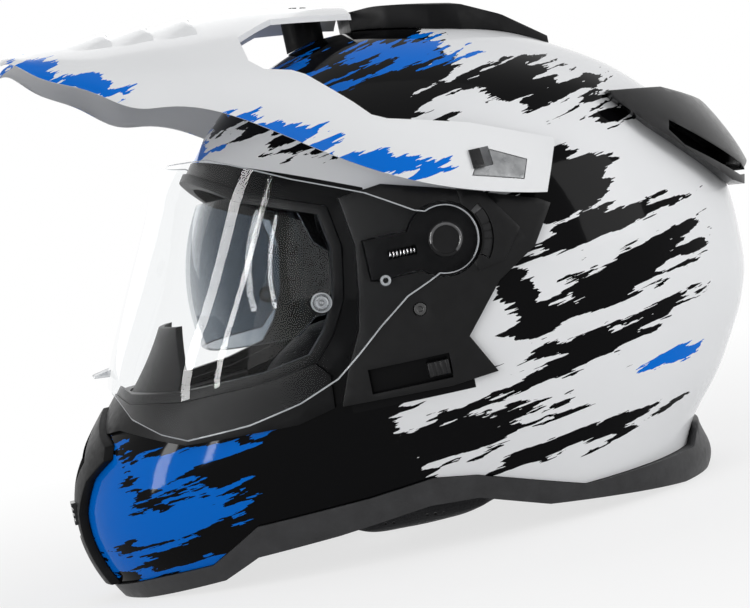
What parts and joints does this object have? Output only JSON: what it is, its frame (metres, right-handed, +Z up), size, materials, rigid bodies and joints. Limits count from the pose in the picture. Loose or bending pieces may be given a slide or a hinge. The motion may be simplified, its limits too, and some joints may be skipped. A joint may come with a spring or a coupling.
{
  "type": "dual sport helmet",
  "caption": "Dual sport helmet with a peak, clear face shield that lifts, inner sun visor, sliding vents, padded lining and ratchet chin strap.",
  "frame": {"origin": "middle of the helmet's outline box in plan, on the table under its rim", "axes": "+Z up, the helmet faces -Y, the wearer's left is +X"},
  "size_m": [0.2582, 0.3368, 0.2506],
  "materials": {
    "shell_paint": "gloss paint with brush-streak design",
    "rubber_black": "satin rubber",
    "foam_black": null,
    "lining_fabric": "brushed knit",
    "matte_black": "fine grained matte",
    "black_plastic": "matte",
    "control_black": "satin",
    "spoiler_black": "gloss",
    "peak_white": "gloss",
    "panel_grey": "satin silver grey",
    "clear_shield": "clear gloss",
    "clear_pin": "clear",
    "tinted_visor": "dark tint",
    "hub_black": "satin gloss",
    "spring_steel": "bright",
    "screw_steel": "blackened",
    "buckle_steel": "brushed",
    "lever_red": "satin gloss",
    "webbing_black": "ribbed webbing"
  },
  "bodies": {
    "helmet": {"breath_guard": "black_plastic", "buckle_housing": "buckle_steel", "buckle_pin": "buckle_steel", "buckle_tongue": "buckle_steel", "cheek_pad_left": "lining_fabric", "cheek_pad_right": "lining_fabric", "chin_bar_liner": "foam_black", "chin_vent_housing": "matte_black", "chin_vent_mesh": "black_plastic", "crown_pad": "lining_fabric", "eps_liner": "foam_black", "eyeport_frame": "matte_black", "eyeport_gasket": "rubber_black", "lower_rim_trim": "rubber_black", "neck_roll": "lining_fabric", "outer_shell": "shell_paint", "peak": "peak_white", "peak_latch_panel_left": "panel_grey", "peak_latch_panel_right": "panel_grey", "peak_mount_block": "black_plastic", "peak_mount_screw": "screw_steel", "peak_stud_left": "black_plastic", "peak_stud_right": "black_plastic", "pivot_base_left": "matte_black", "pivot_base_right": "matte_black", "pivot_cap_left": "hub_black", "pivot_cap_right": "hub_black", "pivot_spring_left": "spring_steel", "pivot_spring_right": "spring_steel", "rear_spoiler": "spoiler_black", "rear_vent_mesh": "black_plastic", "side_cover_left": "matte_black", "side_cover_right": "matte_black", "side_cover_screws": "screw_steel", "strap_left": "webbing_black", "strap_right": "webbing_black", "strap_rivets": "screw_steel", "sun_visor_bracket_left": "black_plastic", "sun_visor_bracket_right": "black_plastic", "top_vent_housing": "matte_black"},
    "shield": {"face_shield": "clear_shield", "shield_tab": "clear_shield", "shield_lens_pins": "clear_pin"},
    "inner_visor": {"sun_visor": "tinted_visor"},
    "visor_slider": {"sun_visor_slider": "control_black"},
    "chin_vent": {"chin_vent_knob": "control_black"},
    "top_vent": {"top_vent_slider": "control_black"},
    "latch_left": {"peak_latch_slider_left": "control_black"},
    "latch_right": {"peak_latch_slider_right": "control_black"},
    "release_left": {"shield_release_tab_left": "control_black"},
    "release_right": {"shield_release_tab_right": "control_black"},
    "lever": {"buckle_lever": "lever_red"}
  },
  "joints": [
    {"name": "shield_hinge", "type": "hinge", "parent": "helmet", "child": "shield", "pos_m": [0, 0.00544, 0.12996], "axis": [-1, 0, 0], "range_deg": [0, 40]},
    {"name": "visor_slide", "type": "slide", "parent": "helmet", "child": "visor_slider", "axis": [-0.189, -0.982, 0], "range_m": [0, 0.022]},
    {"name": "inner_visor_hinge", "type": "hinge", "parent": "helmet", "child": "inner_visor", "pos_m": [0, -0.00243, 0.11799], "axis": [-1, 0, 0], "range_deg": [0, 52]},
    {"name": "chin_vent_slide", "type": "slide", "parent": "helmet", "child": "chin_vent", "axis": [0, 0, -1], "range_m": [0, 0.006]},
    {"name": "top_vent_slide", "type": "slide", "parent": "helmet", "child": "top_vent", "axis": [0, 0.9659, -0.2588], "range_m": [0, 0.007]},
    {"name": "peak_latch_left_slide", "type": "slide", "parent": "helmet", "child": "latch_left", "axis": [0, 1, 0], "range_m": [0, 0.004]},
    {"name": "shield_release_left_turn", "type": "hinge", "parent": "helmet", "child": "release_left", "pos_m": [0, 0.00544, 0.12996], "axis": [1, 0, 0], "range_deg": [0, 6], "stiffness_Nm_per_rad": 0.05},
    {"name": "peak_latch_right_slide", "type": "slide", "parent": "helmet", "child": "latch_right", "axis": [0, 1, 0], "range_m": [0, 0.004]},
    {"name": "shield_release_right_turn", "type": "hinge", "parent": "helmet", "child": "release_right", "pos_m": [0, 0.00544, 0.12996], "axis": [1, 0, 0], "range_deg": [0, 6], "stiffness_Nm_per_rad": 0.05},
    {"name": "buckle_lever_hinge", "type": "hinge", "parent": "helmet", "child": "lever", "pos_m": [0.025, -0.02867, 0.02673], "axis": [0, 1, 0], "range_deg": [0, 50], "stiffness_Nm_per_rad": 0.01}
  ],
  "couplings": [
    {"joint": "inner_visor_hinge", "follows": "visor_slide", "rad_per_m": 41.25}
  ]
}
